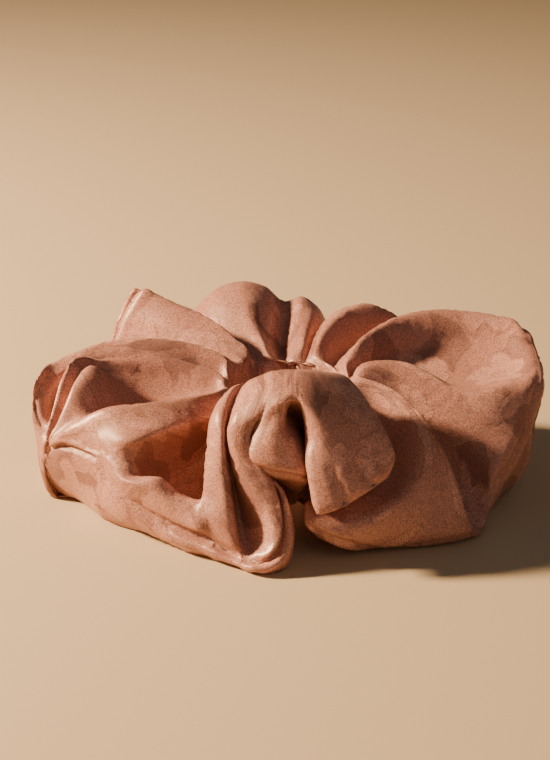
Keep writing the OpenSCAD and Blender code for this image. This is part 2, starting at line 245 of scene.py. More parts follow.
    (402, [(8.4, 14, 28.5), (9.8, 19, 30.6), (13, 24.5, 31.8), (18.3, 31, 33), (24.5, 35.5, 33),
         (30.5, 39.5, 27.5), (33, 41.5, 20)], []),
    (408, [(7.2, 14.3, 29), (8, 19, 31.5), (10.8, 25, 33.5), (15, 31.3, 34.8), (20, 36.3, 34.8),
         (25, 41, 29.5), (27.5, 43.5, 21.5)], []),
    (414, [(6, 14.5, 28.5), (6.5, 19.5, 30.5), (8.5, 26.5, 32.5), (12, 33, 33.8), (16, 38.5, 32.5),
         (20, 43, 26), (21.5, 45, 18.5)], []),
    (419, [(4.7, 14.5, 26.8), (5.7, 20, 27.5), (7.8, 28, 28), (11, 35.5, 27.5), (14, 41.5, 23),
         (16, 45, 16)], []),
    # back lobe, in two parts with a deep crease between them
    (426, [(3.2, 14.5, 27.3), (3.8, 20, 29.3), (5, 28, 31.5), (6.8, 36, 33.2), (7.8, 42, 32.3),
         (8.8, 46.8, 26.5), (9, 48.5, 19)], []),
    (433, [(1.8, 14.7, 27.5), (1.8, 20.5, 28.8), (2.3, 28.5, 31), (3.3, 36, 34), (3.8, 42.3, 34.8),
         (3.8, 47.5, 29), (3.7, 49.5, 21)], []),
    (439, [(-0.2, 14.8, 26.3), (-1, 21, 25.8), (-1, 28.5, 26.5), (-0.3, 35.5, 29.5), (0, 42, 33.5),
         (-0.3, 48, 29.5), (-0.5, 50.2, 21.5)], []),
    (446, [(-1.8, 14.7, 27), (-3.3, 20.8, 28), (-4.5, 28, 30.5), (-5, 35.5, 35), (-5, 42, 37.3),
         (-5, 48.3, 31), (-5, 50.7, 22)], []),
    (454, [(-3.3, 14.5, 28.5), (-5.7, 20.7, 30.3), (-8, 28, 33), (-9.5, 35.5, 37), (-10.3, 41.7, 38.8),
         (-10.5, 47.8, 32.5), (-10.5, 50.3, 23)], []),
    (462, [(-5, 14.3, 27.8), (-8.5, 21, 29.3), (-12, 28.5, 32), (-14.8, 35.5, 36), (-16.8, 41, 37.3),
         (-18.3, 46, 31.5), (-18.7, 48.2, 22)], []),
    (470, [(-6.6, 13.8, 27.2), (-11.8, 21.3, 28), (-17, 29, 30), (-20.8, 36, 32.5), (-22.8, 40.8, 31.8),
         (-24.5, 44.3, 26), (-25.2, 45.7, 19)], []),
    (479, [(-8, 13.2, 27.3), (-14, 20, 27.3), (-21, 28, 27.3), (-27, 34.5, 24.5), (-31, 39, 19.5),
         (-33, 41, 14)], []),
    # pointed back left lobe
    (486, [(-8.5, 12.5, 29), (-13.5, 18, 32), (-20, 24, 34.5), (-27, 29, 36.5), (-33.5, 33.5, 35),
         (-38, 37, 28.5), (-39.5, 38.5, 22)], []),
    (492, [(-9, 11.5, 30), (-11.7, 14.5, 32), (-15, 17.8, 33.9), (-20.3, 21.9, 35.7), (-26, 25.3, 37.5),
         (-31.5, 28, 39.4), (-35.8, 29.8, 40.6)], [(-40, 34, 30), (-38, 33, 14), (-30, 25, 4)]),
    (498, [(-10.3, 10.7, 28.8), (-16, 14.3, 31), (-23.5, 19, 33.3), (-32, 24.3, 35.2), (-40, 28.5, 34.3)],
     [(-42, 31, 24), (-41, 30, 11), (-33, 22, 3)]),
    (505, [(-11.3, 9.7, 28), (-18, 12.5, 28.3), (-26, 16.5, 28.5), (-34, 21, 28), (-43.5, 26, 26)], []),
    # left lobe: the back ridge, the far layer and the narrow pleat that end at the pinch
    (512, [(-13, 9, 29), (-19.5, 12.8, 30.7), (-28, 15.5, 31), (-37, 17.5, 30), (-45, 17.5, 27),
         (-50, 16, 23)], []),
    (519, [(-14.3, 8.2, 30), (-20, 11, 32.2), (-28.4, 12.3, 33.4), (-36.6, 12.3, 33.6), (-43.4, 10.7, 33),
         (-48.5, 7.5, 32), (-53.5, 3, 30.3), (-57, -2, 28.5)], []),
    (525, [(-14.9, 5.6, 25.8), (-19.5, 7.3, 27.2), (-24.5, 8.7, 29.8), (-30, 9.2, 31.5), (-36, 9, 32.2),
         (-43, 7.5, 31.7), (-48.3, 5, 31), (-52.8, 0.5, 28.3), (-55.7, -3, 25.3), (-57.2, -4.5, 23)],
     [(-57.5, -3, 15), (-56.5, -1, 7), (-53.5, 1, 0.8)]),
    (530, [(-15.3, 4.3, 27.8), (-20.5, 6.3, 29.3), (-28, 7.3, 30.7), (-36, 7.3, 31), (-43, 6, 30.8),
         (-47.5, 3.7, 30.5), (-50.3, 0.5, 27), (-52.5, -3.5, 21.5), (-55, -8.5, 18)],
     [(-56.3, -6, 12.5), (-56.6, -3.5, 6), (-55.2, -2, 1.2)]),
    (535, [(-15.4, 3, 27.3), (-20.7, 4.7, 28.5), (-28, 5.7, 29.7), (-36, 5.7, 30.3), (-43, 4.7, 31),
         (-48, 2.8, 32.7), (-50.7, -2, 30), (-52.7, -6, 24), (-54.5, -10, 17)],
     [(-55.9, -7, 12), (-56.3, -4.5, 5.8), (-55, -3.3, 1.1)]),
    (539, [(-15.5, 2, 26.8), (-20.7, 3.2, 27.2), (-28, 4.1, 27.2), (-36, 4.1, 27.5), (-43, 3.2, 29.2),
         (-46.7, 1, 30), (-48.5, -3, 26.3), (-50.5, -6.5, 21.5), (-54.2, -10, 16.6)],
     [(-55.6, -7.3, 11.7), (-55.8, -5, 5.5), (-54.6, -3.8, 1)]),
    (543, [(-15.4, 0.5, 26), (-20.7, 1.2, 25.2), (-28, 1.3, 24.3), (-35, 1.6, 25.2), (-40.5, 1.8, 28.3),
         (-44.8, 1.2, 31), (-47.7, -3, 29.2), (-49.9, -7, 25), (-51.7, -9, 21), (-54.1, -10, 16.2)],
     [(-55.2, -7.6, 11.5), (-55, -5.2, 5), (-53.8, -4, 0.9)]),
    (551, [(-15.3, -3, 26), (-20.7, -4.5, 24), (-28, -7, 21.3), (-35.5, -8.3, 20.7), (-41.5, -9.3, 22),
         (-45.5, -10.3, 22.8), (-49.5, -11, 20.7), (-54, -10, 16)],
     [(-55.1, -7.5, 11.2), (-54.6, -4, 4.6), (-52.5, -1.9, 0.7)]),
]

CLOSING_FOLD = 479       # the fold where the tube's two ends are sewn together

TOP_ROWS = 48            # rows of mesh from the waist of the neck, over the top, to the seam
LOW_ROWS = 40            # rows from the seam, underneath, back to the waist
COLUMN_PITCH = 1.05      # about this far from one column of mesh to the next


def catmull_rom(points, closed, samples):
    """Points on a smooth curve through the given points, and the length along it at each of them."""
    p = np.array(points, float)
    n = len(p)
    if closed:
        p = np.vstack([p[-1], p, p[0], p[1]])
        spans = n
    else:
        p = np.vstack([2 * p[0] - p[1], p, 2 * p[-1] - p[-2]])
        spans = n - 1
    out = []
    for i in range(spans):
        p0, p1, p2, p3 = p[i : i + 4]
        gap = max(np.linalg.norm(p2 - p1), 1e-6)
        before = max(np.linalg.norm(p1 - p0), 1e-6)
        after = max(np.linalg.norm(p3 - p2), 1e-6)
        m1 = gap * ((p1 - p0) / before * gap + (p2 - p1) / gap * before) / (before + gap)
        m2 = gap * ((p2 - p1) / gap * after + (p3 - p2) / after * gap) / (after + gap)
        t = np.linspace(0, 1, samples, endpoint=False)[:, None]
        out.append(
            (2 * t**3 - 3 * t**2 + 1) * p1 + (t**3 - 2 * t**2 + t) * m1
            + (3 * t**2 - 2 * t**3) * p2 + (t**3 - t**2) * m2
        )
    curve = np.vstack(out + [p[1:2] if closed else p[-2:-1]])
    steps = np.linalg.norm(np.diff(curve, axis=0), axis=1)
    return curve, np.concatenate([[0], np.cumsum(steps)])


def spread(curve, length, start, end, count, crowd=0.0, crowd_end=0.0):
    """count points along the curve from start to end, two lengths along it. crowd brings them closer
    together near both ends, and crowd_end near the end."""
    t = np.linspace(0, 1, count, endpoint=False)
    t = t - crowd * np.sin(2 * math.pi * t) + crowd_end * t * (1 - t)
    return np.stack([np.interp(start + (end - start) * t, length, curve[:, k]) for k in range(3)], axis=1)


def underside(seam, given):
    """The points after the seam: those given, then down to the surface and back to the neck."""
    radius = math.hypot(seam[0], seam[1])
    out = np.array([seam[0] / radius, seam[1] / radius])
    z = seam[2]
    points = [np.array(p, float) for p in given]
    if not points:
        if z > 6:
            points.append(np.array([*(out * (radius - 0.5)), 0.6 * z]))
            points.append(np.array([*(out * (radius - 0.10 * z - 1)), 0.25 * z]))
        points.append(np.array([*(out * (radius - 2 - 0.22 * z)), 0.6]))
    last = points[-1]
    last_r = math.hypot(last[0], last[1])
    if last[2] < 3 and last_r > 30:
        points.append(np.array([last[0] * 0.72, last[1] * 0.72, 0.5]))
        last_r = last_r * 0.72
    if last_r > 23:
        points.append(np.array([last[0], last[1], 0]) * (21 / math.hypot(last[0], last[1])) + [0, 0, 2.5])
    return points


def rib(angle, top, low):
    """One cross-section of the tube, as TOP_ROWS points over the top and LOW_ROWS points underneath."""
    a = math.radians(angle)
    out = np.array([math.cos(a), math.sin(a)])
    waist = np.array([*(out * WAIST_R), WAIST_Z])
    upper_rim = np.array([*(out * NECK_R), NECK_TOP])
    lower_rim = np.array([*(out * (NECK_R + 0.5)), NECK_LOW])
    over_top = [np.array(p[:3], float) for p in top]
    points = [waist, upper_rim, *over_top, *underside(over_top[-1], low), lower_rim]
    samples = 24
    curve, length = catmull_rom(points, True, samples)
    stops = [(0, 0.0)]
    stops += [(p[3], length[(i + 2) * samples]) for i, p in enumerate(top) if len(p) == 4]
    stops += [(TOP_ROWS, length[(len(top) + 1) * samples])]
    parts = [
        spread(curve, length, here, there, row2 - row1, crowd_end=0.5 if row2 == TOP_ROWS else 0)
        for (row1, here), (row2, there) in zip(stops, stops[1:])
    ]
    parts.append(spread(curve, length, stops[-1][1], length[-1], LOW_ROWS, crowd=0.11))
    return np.vstack(parts)


def net():
    """The whole tube as columns round the ring by rows round the tube, from the closing seam on."""
    first = [fold[0] for fold in FOLDS].index(CLOSING_FOLD)
    ribs = np.array([rib(*fold) for fold in FOLDS[first:] + FOLDS[:first]])
    count = len(ribs)
    turned = np.unwrap([fold[0] for fold in FOLDS[first:] + FOLDS[:first + 1]], period=360)
    gaps = np.maximum(np.linalg.norm(np.roll(ribs, -1, axis=0) - ribs, axis=2, keepdims=True), 0.1)
    columns = []
    angles = []
    for i in range(count):
        p0, p1, p2, p3 = (ribs[(i + k) % count] for k in (-1, 0, 1, 2))
        before, gap, after = gaps[i - 1], gaps[i], gaps[(i + 1) % count]
        m1 = gap * ((p1 - p0) / before * gap + (p2 - p1) / gap * before) / (before + gap)
        m2 = gap * ((p2 - p1) / gap * after + (p3 - p2) / after * gap) / (after + gap)
        steps = max(1, round((0.5 * gap.mean() + 0.5 * gap.max()) / COLUMN_PITCH))
        for s in range(steps):
            t = s / steps
            angles.append(turned[i] * (1 - t) + turned[i + 1] * t)
            columns.append(
                (2 * t**3 - 3 * t**2 + 1) * p1 + (t**3 - 2 * t**2 + t) * m1
                + (3 * t**2 - 2 * t**3) * p2 + (t**3 - t**2) * m2
            )
    return np.array(columns), np.array(angles)


def ring_mesh(name, grid, open_ends=False):
    """A mesh from a grid of columns by rows, in millimetres, closed round the rows and the columns.
    With open_ends, the last column doesn't join the first, and both ends are capped."""
    columns, rows = grid.shape[:2]
    faces = []
    for c in range(columns - open_ends):
        for r in range(rows):
            c2, r2 = (c + 1) % columns, (r + 1) % rows
            faces.append((c * rows + r, c * rows + r2, c2 * rows + r2, c2 * rows + r))
    if open_ends:
        faces.append(tuple(reversed(range(rows))))
        faces.append(tuple((columns - 1) * rows + r for r in range(rows)))
    mesh = bpy.data.meshes.new(name)
    mesh.from_pydata((grid.reshape(-1, 3) * MM).tolist(), [], faces)
    mesh.update()
    mesh.shade_smooth()
    obj = bpy.data.objects.new(name, mesh)
    bpy.context.scene.collection.objects.link(obj)
    return obj


def normals_of(grid):
    """Outward unit normals of a grid that is closed both ways."""
    along = np.roll(grid, -1, axis=0) - np.roll(grid, 1, axis=0)
    across = np.roll(grid, -1, axis=1) - np.roll(grid, 1, axis=1)
    normal = np.cross(across, along)
    return normal / np.maximum(np.linalg.norm(normal, axis=2, keepdims=True), 1e-9)


def smooth_noise(length, period, seed):
    """Smooth random values from about -1 to 1 at the places in length, which wraps round at its end."""
    total = length[-1] * (1 + 1 / len(length))
    knots = max(3, round(total / period))
    values = np.random.default_rng(seed).uniform(-1, 1, knots)
    place = length / total * knots
    left = np.floor(place).astype(int)
    t = place - left
    t = t * t * (3 - 2 * t)
    return values[left % knots] * (1 - t) + values[(left + 1) % knots] * t


grid, fold_angle = net()
columns, rows = grid.shape[:2]

# ---------------------------------------------------------------- gathers and seams

seam_row = TOP_ROWS
seam_steps = np.linalg.norm(np.diff(grid[:, seam_row], axis=0), axis=1)
seam_length = np.concatenate([[0], np.cumsum(seam_steps)])
row_steps = np.linalg.norm(np.roll(grid, -1, axis=1) - grid, axis=2)
to_seam = np.zeros((columns, rows))              # signed length from the seam, across the tube
for r in range(seam_row + 1, rows):
    to_seam[:, r] = to_seam[:, r - 1] + row_steps[:, r - 1]
for r in range(seam_row - 1, -1, -1):
    to_seam[:, r] = to_seam[:, r + 1] - row_steps[:, r]
from_waist = np.minimum(np.cumsum(row_steps, axis=1), np.cumsum(row_steps[:, ::-1], axis=1)[:, ::-1])

SEAM_DEPTH = 0.85        # the groove that the long seam pulls in, and its half width
SEAM_SPREAD = 0.9
FLANK_HEIGHT = 0.18      # the low swelling on each side of the groove: height, distance and half width
FLANK_AT = 2.6
FLANK_SPREAD = 1.3
PUCKER_REACH = 6.0       # the seam's small puckers die out this far from it
GATHER_REACH = 8.0       # the fine gathers die out this far from the hole
GATHER_PITCH = 2.6       # from one fine gather to the next
STREAK_PITCH = 2.8       # fainter streaks between the gathers, which reach further out
STREAK_REACH = 22
CREASE_DEPTH = 0.75
CLOSING_DEPTH = 0.6      # the groove at the closing seam, and its half width
CLOSING_SPREAD = 1.3
SMALLEST_PITCH = 0.35    # where the mesh's columns are closer than this, there are no gathers
FLOOR_GAP = 0.3          # no point of the satin's outside lies lower
FLAP_CREASES = [(276.3, 10, 0.25), (282.7, 7, 0.2)]     # fold angle, length from the edge, lean

normal = normals_of(grid)
turn = (normal[:, seam_row - 5] * normal[:, (seam_row + 5) % rows]).sum(axis=1)
seam_flat = np.clip(0.85 + turn, 0.1, 1)          # 1 where the seam lies on a flat face, 0.1 on a sharp edge
for _ in range(6):
    seam_flat = (np.roll(seam_flat, 1) + seam_flat + np.roll(seam_flat, -1)) / 3
flanks = FLANK_HEIGHT * np.exp(-(((np.abs(to_seam) - FLANK_AT) / FLANK_SPREAD) ** 2))
groove = flanks - SEAM_DEPTH * np.exp(-((to_seam / SEAM_SPREAD) ** 2))
groove = groove * seam_flat[:, None]
pucker = smooth_noise(seam_length, 6, 3)[:, None] * 0.14 + smooth_noise(seam_length, 13, 4)[:, None] * 0.16
pucker = pucker * np.exp(-((np.abs(to_seam) / PUCKER_REACH) ** 1.5)) * (1 - np.exp(-((to_seam / 1.2) ** 2)))
neck_length = np.unwrap(np.arctan2(grid[:, 1, 1], grid[:, 1, 0])) * NECK_R
neck_length = neck_length - neck_length[0]
gather = np.sin(neck_length * 2 * math.pi / GATHER_PITCH + 2.0 * smooth_noise(neck_length, 7, 5))[:, None]
gather = gather * (0.22 + 0.12 * smooth_noise(neck_length, 5, 6))[:, None]
gather = gather * np.exp(-((from_waist / GATHER_REACH) ** 2))
streak = smooth_noise(neck_length, STREAK_PITCH, 8)[:, None] * 0.13 * (1 - np.exp(-((from_waist / 4) ** 2)))
gather = gather + streak * np.exp(-((from_waist / STREAK_REACH) ** 2))
pitch = np.linalg.norm(np.roll(grid, -1, axis=0) - np.roll(grid, 1, axis=0), axis=2) / 2
gather = gather * np.clip(pitch / SMALLEST_PITCH, 0, 1)
closing = np.minimum(np.arange(columns), columns - np.arange(columns))[:, None] * COLUMN_PITCH
crease = np.zeros((columns, rows))
for angle, reach, lean in FLAP_CREASES:
    across = seam_length[:, None] - np.interp(angle + 360, fold_angle, seam_length) - lean * to_seam
    line = np.exp(-((across / 0.9) ** 2)) - 0.4 * np.exp(-(((across - 1.8) / 1.0) ** 2))
    crease -= CREASE_DEPTH * line * np.clip((to_seam + reach) / 3, 0, 1) * np.clip(-to_seam, 0, 1)
closing_groove = -CLOSING_DEPTH * np.exp(-((closing / CLOSING_SPREAD) ** 2))
closing_groove = closing_groove * np.clip((from_waist - 6) / 6, 0, 1)
grid = grid + normal * (groove + pucker + gather + crease + closing_groove)[..., None]
grid[..., 2] = np.maximum(grid[..., 2], FLOOR_GAP)

# ---------------------------------------------------------------- the satin settles

SIM_SCALE = 10           # the cloth solver is steadier on a piece about a metre across
SIM_FRAMES = 14
FARTHEST = 1.6           # no point moves further than this, in millimetres


def settle(grid):
    """The grid after a short cloth simulation, held near its place by soft pins."""
    obj = ring_mesh("settling", grid * SIM_SCALE)
    hold = obj.vertex_groups.new(name="hold")
    taut = obj.vertex_groups.new(name="taut")
    near_neck = np.exp(-((from_waist / 9) ** 2))
    near_seam = np.exp(-((to_seam / 5) ** 2))
    pin = 0.35 + 0.4 * np.exp(-((from_waist / 4) ** 2))
    loose = np.clip(0.25 + near_neck + 0.15 * near_seam, 0, 1)
    for i, (p, s) in enumerate(zip(pin.reshape(-1), loose.reshape(-1))):
        hold.add([i], float(p), "REPLACE")
        taut.add([i], float(1 - s), "REPLACE")
    cloth = obj.modifiers.new("cloth", "CLOTH")
    s = cloth.settings
    s.quality = 5
    s.mass = 0.3
    s.tension_stiffness = 20
    s.compression_stiffness = 20
    s.shear_stiffness = 8
    s.bending_stiffness = 0.4
    s.effector_weights.gravity = 0
    s.vertex_group_mass = "hold"
    s.pin_stiffness = 4
    s.shrink_min = -0.05
    s.shrink_max = 0.0
    s.vertex_group_shrink = "taut"
    cloth.collision_settings.use_collision = False
    cloth.collision_settings.use_self_collision = False
    for f in range(1, SIM_FRAMES + 1):
        bpy.context.scene.frame_set(f)
    settled = obj.evaluated_get(bpy.context.evaluated_depsgraph_get())
    flat = np.empty(columns * rows * 3, np.float32)
    settled.data.vertices.foreach_get("co", flat)
    moved = flat.astype(float).reshape(grid.shape) / MM / SIM_SCALE - grid
    bpy.context.scene.frame_set(1)
    bpy.data.objects.remove(obj)
    distance = np.linalg.norm(moved, axis=2, keepdims=True)
    return grid + moved * np.minimum(1, FARTHEST / np.maximum(distance, 1e-9))


grid = settle(grid)
grid[..., 2] = np.maximum(grid[..., 2], FLOOR_GAP)
cover = ring_mesh("satin_cover", grid)

# Flat coordinates on the satin, in metres: along the tube, and round it from the long seam.
flat_u = np.concatenate([seam_length, [seam_length[-1] * (1 + 1 / columns)]])
flat_u = flat_u / flat_u[-1] * TUBE_LENGTH * MM
mean_steps = row_steps.mean(axis=0)
round_tube = np.concatenate([[0], np.cumsum(np.roll(mean_steps, -seam_row))])
round_tube = round_tube / round_tube[-1] * TUBE_WIDTH * MM
uv_values = np.empty((columns, rows, 4, 2))
c = np.arange(columns)[:, None]
r = (np.arange(rows)[None, :] - seam_row) % rows
for corner, (dc, dr) in enumerate([(0, 0), (0, 1), (1, 1), (1, 0)]):
    uv_values[:, :, corner, 0] = flat_u[c + dc] + 0 * r
    uv_values[:, :, corner, 1] = round_tube[r + dr] + 0 * c
uv = cover.data.uv_layers.new(name="cloth")
uv.data.foreach_set("uv", uv_values.reshape(-1).astype(np.float32))

thicken = cover.modifiers.new("thickness", "SOLIDIFY")
thicken.thickness = SATIN_THICK * MM
thicken.offset = -1

# ---------------------------------------------------------------- threads


def capsules(name, ends, radius, sides=8):
    """One mesh of short round-ended rods, each from one point to another, in millimetres."""
    vertices = []
    faces = []
    profile = [(-1.0, 0.0), (-0.75, 0.7), (0.0, 1.0), (1.0, 1.0), (1.75, 0.7), (2.0, 0.0)]
    for start, end in ends:
        axis = Vector(end) - Vector(start)
        side = axis.orthogonal().normalized()
        other = axis.normalized().cross(side)
        first = len(vertices)
        for along, wide in profile[1:-1]:
            if along <= 0:
                centre = Vector(start) + axis.normalized() * along * radius
            else:
                centre = Vector(end) + axis.normalized() * (along - 1) * radius
            for k in range(sides):
                a = 2 * math.pi * k / sides
                vertices.append(centre + (side * math.cos(a) + other * math.sin(a)) * radius * wide)
        rings = len(profile) - 2
        for ring in range(rings - 1):
            for k in range(sides):
                k2 = (k + 1) % sides
                low, high = first + ring * sides, first + (ring + 1) * sides
                faces.append((low + k, low + k2, high + k2, high + k))
        faces.append(tuple(first + k for k in reversed(range(sides))))
        faces.append(tuple(first + (rings - 1) * sides + k for k in range(sides)))
    mesh = bpy.data.meshes.new(name)
    mesh.from_pydata([tuple(v * MM) for v in vertices], [], faces)
    mesh.update()
    mesh.shade_smooth()
    obj = bpy.data.objects.new(name, mesh)
    bpy.context.scene.collection.objects.link(obj)
    return obj


THREAD_R = 0.22
STITCH = 1.9             # length of a stitch of the long seam, and from one to the next
STITCH_PITCH = 2.7

normal = normals_of(grid)
line = grid[:, seam_row] - normal[:, seam_row] * (0.45 - 0.35 * seam_flat[:, None])
closed_line = np.vstack([line, line[:1]])
along = np.concatenate([[0], np.cumsum(np.linalg.norm(np.diff(closed_line, axis=0), axis=1))])


def on_line(place):
    """The point at that length along the long seam."""
    return [float(np.interp(place % along[-1], along, closed_line[:, k])) for k in range(3)]


stitch_count = int(along[-1] / STITCH_PITCH)
stitch_gap = along[-1] / stitch_count
seam_stitches = capsules(
    "seam_stitches",
    [(on_line(i * stitch_gap), on_line(i * stitch_gap + STITCH)) for i in range(stitch_count)],
    THREAD_R,
)

CLOSING_PITCH = 3.0
closing_line = grid[0]
closing_at = np.concatenate([[0], np.cumsum(np.linalg.norm(np.diff(closing_line, axis=0), axis=1))])
closing_ends = []
for place in np.arange(9, closing_at[-1] - 9, CLOSING_PITCH):
    row = int(np.searchsorted(closing_at, place))
    closing_ends.append((grid[1, row], grid[-1, row]))
closing_stitches = capsules("closing_stitches", closing_ends, THREAD_R)

# ---------------------------------------------------------------- the elastic inside

ELASTIC_R = 16.0         # middle of the band, before it laps over its own start
ELASTIC_Z = 18.0
ELASTIC_TALL = 6.0
ELASTIC_THICK = 1.0
LAP = 24                 # degrees of the band that lie over its start
JOIN_ANGLE = CLOSING_FOLD - 360 + 6
BRAID_CORDS = 8          # ribs across the height of the band
BRAID_PITCH = 1.6        # length of one crossing of the braid

turns = np.linspace(0, 360 + LAP, 420)
climb = np.clip((turns - 345) / 15, 0, 1)
middle_r = ELASTIC_R + 1.04 * ELASTIC_THICK * climb * climb * (3 - 2 * climb)
band = []
for turn, radius in zip(turns, middle_r):
    a = math.radians(JOIN_ANGLE - LAP / 2 + turn)
    run = math.radians(turn) * ELASTIC_R
    ring = []
    for side in (1, -1):
        for k in range(17):
            height = (0.5 - k / 16) * side
            edge = 1 - abs(2 * height) ** 6
            rib_wave = abs(math.sin(math.pi * BRAID_CORDS * (height + 0.5)))
            cord = math.floor(BRAID_CORDS * (height + 0.4999))
            weave = 0.5 + 0.5 * math.sin(2 * math.pi * run / BRAID_PITCH + (cord % 2) * math.pi)
            depth = ELASTIC_THICK / 2 * edge * (0.72 + 0.28 * rib_wave * (0.6 + 0.4 * weave))
            rr = radius + side * max(depth, 0.08)
            ring.append((rr * math.cos(a), rr * math.sin(a), ELASTIC_Z + height * ELASTIC_TALL))
    band.append(ring)
elastic = ring_mesh("elastic_loop", np.array(band), open_ends=True)

JOIN_STITCHES = 8
JOIN_RUN = 16            # degrees of the lap that the zigzag covers
JOIN_TALL = 3.8
zigzag = []
for i in range(JOIN_STITCHES + 1):
    a = math.radians(JOIN_ANGLE + (i / JOIN_STITCHES - 0.5) * JOIN_RUN)
    z = ELASTIC_Z + JOIN_TALL / 2 * (1 if i % 2 else -1)
    rr = ELASTIC_R + 1.5 * ELASTIC_THICK + 0.1
    zigzag.append((rr * math.cos(a), rr * math.sin(a), z))
join_stitches = capsules("elastic_join_zigzag", list(zip(zigzag, zigzag[1:])), 0.2)

# ---------------------------------------------------------------- materials


class Nodes:
    """Small helper for building a material's nodes."""

    def __init__(self, name):
        self.material = bpy.data.materials.new(name)
        self.material.use_nodes = True
        self.tree = self.material.node_tree
        self.shader = self.tree.nodes["Principled BSDF"]

    def add(self, kind, inputs=None, **settings):
        """A node of that kind. An input is a number, a colour, or another node's output."""
        new = self.tree.nodes.new("ShaderNode" + kind)
        for key, value in settings.items():
            setattr(new, key, value)
        for key, value in (inputs or {}).items():
            if isinstance(value, bpy.types.NodeSocket):
                self.tree.links.new(value, new.inputs[key])
            else:
                new.inputs[key].default_value = value
        return new

    def math(self, operation, a, b=0.0, clamp=False):
        return self.add("Math", {0: a, 1: b}, operation=operation, use_clamp=clamp).outputs[0]

    def mix(self, share, a, b, blend="MIX"):
        new = self.add("Mix", {0: share, 6: a, 7: b}, data_type="RGBA", blend_type=blend)
        return new.outputs[2]

    def ramp(self, value, low, high, to_low=0.0, to_high=1.0):
        new = self.add(
            "MapRange",
            {"Value": value, "From Min": low, "From Max": high, "To Min": to_low, "To Max": to_high},
        )
        return new.outputs["Result"]

    def set(self, **values):
        for key, value in values.items():
            self.shader.inputs[key.replace("_", " ")].default_value = value

    def link(self, output, name):
        self.tree.links.new(output, self.shader.inputs[name])


FLOWER = 0.017           # size of the cells that hold one woven flower each, in metres
PETALS = 5
LEAF = 1 / 70            # size of the cells that hold one leaf patch each
GRAIN = 0.00034          # size of the satin's fine grain and of the sparkle painted into its colour, in metres
